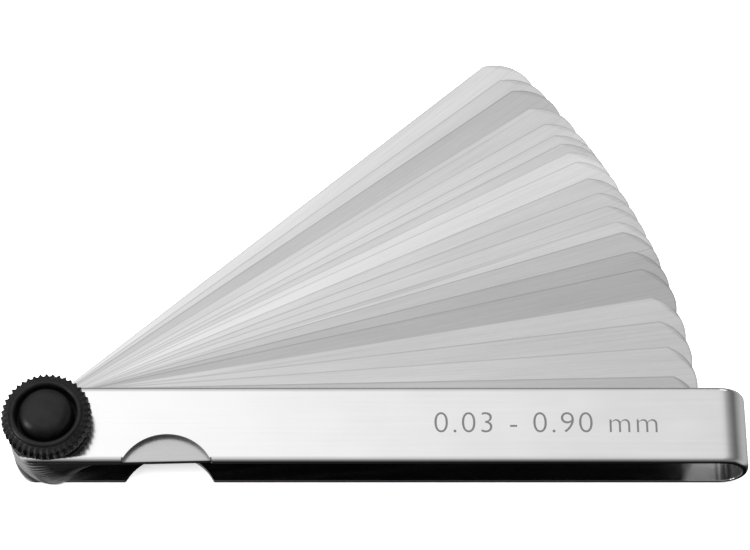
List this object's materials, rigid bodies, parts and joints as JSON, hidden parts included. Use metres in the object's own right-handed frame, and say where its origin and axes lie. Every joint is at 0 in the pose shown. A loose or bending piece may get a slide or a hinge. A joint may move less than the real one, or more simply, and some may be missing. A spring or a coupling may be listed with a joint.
{
  "type": "feeler gauge",
  "caption": "Locking feeler gauge: a fan of thin steel blades that swing out of a folded steel holder on one pivot, clamped by a fluted black knob.",
  "frame": {"origin": "on the pivot axis, in the outer face of the rear leaf, where the stud's head is flush", "axes": "+X along the holder from the pivot to the bend, +Y to the side that the blades fan out to, +Z along the pivot from the rear leaf to the knob"},
  "size_m": [0.1138, 0.0755, 0.0141],
  "materials": {
    "plated_strip": "bright nickel plate, faintly brushed along the strip",
    "ground_steel": "surface ground along the blade, lightly oiled",
    "stud_steel": "turned and plated",
    "washer_steel": "stamped, plain",
    "insert_brass": "turned",
    "knob_plastic": "moulded black, semi-gloss"
  },
  "bodies": {
    "holder": {"holder": "plated_strip", "pivot_stud": "stud_steel"},
    "blade_0_03mm": {"blade_0_03mm": "ground_steel"},
    "blade_0_04mm": {"blade_0_04mm": "ground_steel"},
    "blade_0_05mm": {"blade_0_05mm": "ground_steel"},
    "blade_0_06mm": {"blade_0_06mm": "ground_steel"},
    "blade_0_07mm": {"blade_0_07mm": "ground_steel"},
    "blade_0_08mm": {"blade_0_08mm": "ground_steel"},
    "blade_0_09mm": {"blade_0_09mm": "ground_steel"},
    "blade_0_10mm": {"blade_0_10mm": "ground_steel"},
    "blade_0_15mm": {"blade_0_15mm": "ground_steel"},
    "blade_0_20mm": {"blade_0_20mm": "ground_steel"},
    "blade_0_25mm": {"blade_0_25mm": "ground_steel"},
    "blade_0_30mm": {"blade_0_30mm": "ground_steel"},
    "blade_0_35mm": {"blade_0_35mm": "ground_steel"},
    "blade_0_40mm": {"blade_0_40mm": "ground_steel"},
    "blade_0_45mm": {"blade_0_45mm": "ground_steel"},
    "blade_0_50mm": {"blade_0_50mm": "ground_steel"},
    "blade_0_60mm": {"blade_0_60mm": "ground_steel"},
    "blade_0_70mm": {"blade_0_70mm": "ground_steel"},
    "blade_0_80mm": {"blade_0_80mm": "ground_steel"},
    "blade_0_90mm": {"blade_0_90mm": "ground_steel"},
    "clamp_washer": {"clamp_washer": "washer_steel"},
    "knob": {"knob": "knob_plastic", "knob_insert": "insert_brass"}
  },
  "joints": [
    {"name": "swing_0_03mm", "type": "hinge", "parent": "holder", "child": "blade_0_03mm", "pos_m": [0, 0, 0.00104], "axis": [0, 0, 1], "range_deg": [-41.5, 138.5]},
    {"name": "swing_0_04mm", "type": "hinge", "parent": "holder", "child": "blade_0_04mm", "pos_m": [0, 0, 0.00111], "axis": [0, 0, 1], "range_deg": [-39.2, 140.8]},
    {"name": "swing_0_05mm", "type": "hinge", "parent": "holder", "child": "blade_0_05mm", "pos_m": [0, 0, 0.00119], "axis": [0, 0, 1], "range_deg": [-37.5, 142.5]},
    {"name": "swing_0_06mm", "type": "hinge", "parent": "holder", "child": "blade_0_06mm", "pos_m": [0, 0, 0.00127], "axis": [0, 0, 1], "range_deg": [-34.9, 145.1]},
    {"name": "swing_0_07mm", "type": "hinge", "parent": "holder", "child": "blade_0_07mm", "pos_m": [0, 0, 0.00136], "axis": [0, 0, 1], "range_deg": [-32.6, 147.4]},
    {"name": "swing_0_08mm", "type": "hinge", "parent": "holder", "child": "blade_0_08mm", "pos_m": [0, 0, 0.00147], "axis": [0, 0, 1], "range_deg": [-31, 149]},
    {"name": "swing_0_09mm", "type": "hinge", "parent": "holder", "child": "blade_0_09mm", "pos_m": [0, 0, 0.00159], "axis": [0, 0, 1], "range_deg": [-29.8, 150.2]},
    {"name": "swing_0_10mm", "type": "hinge", "parent": "holder", "child": "blade_0_10mm", "pos_m": [0, 0, 0.00171], "axis": [0, 0, 1], "range_deg": [-28.6, 151.4]},
    {"name": "swing_0_15mm", "type": "hinge", "parent": "holder", "child": "blade_0_15mm", "pos_m": [0, 0, 0.00186], "axis": [0, 0, 1], "range_deg": [-27.3, 152.7]},
    {"name": "swing_0_20mm", "type": "hinge", "parent": "holder", "child": "blade_0_20mm", "pos_m": [0, 0, 0.00207], "axis": [0, 0, 1], "range_deg": [-25.1, 154.9]},
    {"name": "swing_0_25mm", "type": "hinge", "parent": "holder", "child": "blade_0_25mm", "pos_m": [0, 0, 0.00232], "axis": [0, 0, 1], "range_deg": [-23.2, 156.8]},
    {"name": "swing_0_30mm", "type": "hinge", "parent": "holder", "child": "blade_0_30mm", "pos_m": [0, 0, 0.00263], "axis": [0, 0, 1], "range_deg": [-21.5, 158.5]},
    {"name": "swing_0_35mm", "type": "hinge", "parent": "holder", "child": "blade_0_35mm", "pos_m": [0, 0, 0.00298], "axis": [0, 0, 1], "range_deg": [-19.5, 160.5]},
    {"name": "swing_0_40mm", "type": "hinge", "parent": "holder", "child": "blade_0_40mm", "pos_m": [0, 0, 0.00339], "axis": [0, 0, 1], "range_deg": [-18.1, 161.9]},
    {"name": "swing_0_45mm", "type": "hinge", "parent": "holder", "child": "blade_0_45mm", "pos_m": [0, 0, 0.00384], "axis": [0, 0, 1], "range_deg": [-15.7, 164.3]},
    {"name": "swing_0_50mm", "type": "hinge", "parent": "holder", "child": "blade_0_50mm", "pos_m": [0, 0, 0.00435], "axis": [0, 0, 1], "range_deg": [-13.6, 166.4]},
    {"name": "swing_0_60mm", "type": "hinge", "parent": "holder", "child": "blade_0_60mm", "pos_m": [0, 0, 0.00493], "axis": [0, 0, 1], "range_deg": [-10.3, 169.7]},
    {"name": "swing_0_70mm", "type": "hinge", "parent": "holder", "child": "blade_0_70mm", "pos_m": [0, 0, 0.00561], "axis": [0, 0, 1], "range_deg": [-7.5, 172.5]},
    {"name": "swing_0_80mm", "type": "hinge", "parent": "holder", "child": "blade_0_80mm", "pos_m": [0, 0, 0.00639], "axis": [0, 0, 1], "range_deg": [-4.6, 175.4]},
    {"name": "swing_0_90mm", "type": "hinge", "parent": "holder", "child": "blade_0_90mm", "pos_m": [0, 0, 0.00727], "axis": [0, 0, 1], "range_deg": [-1.3, 178.7]},
    {"name": "washer_lift", "type": "slide", "parent": "holder", "child": "clamp_washer", "axis": [0, 0, 1], "range_m": [0, 0.0021]},
    {"name": "knob_turn", "type": "hinge", "parent": "clamp_washer", "child": "knob", "pos_m": [0, 0, 0.00875], "axis": [0, 0, 1], "range_deg": [0, 1080]}
  ],
  "couplings": [
    {"joint": "knob_turn", "follows": "washer_lift", "rad_per_m": 8975}
  ]
}
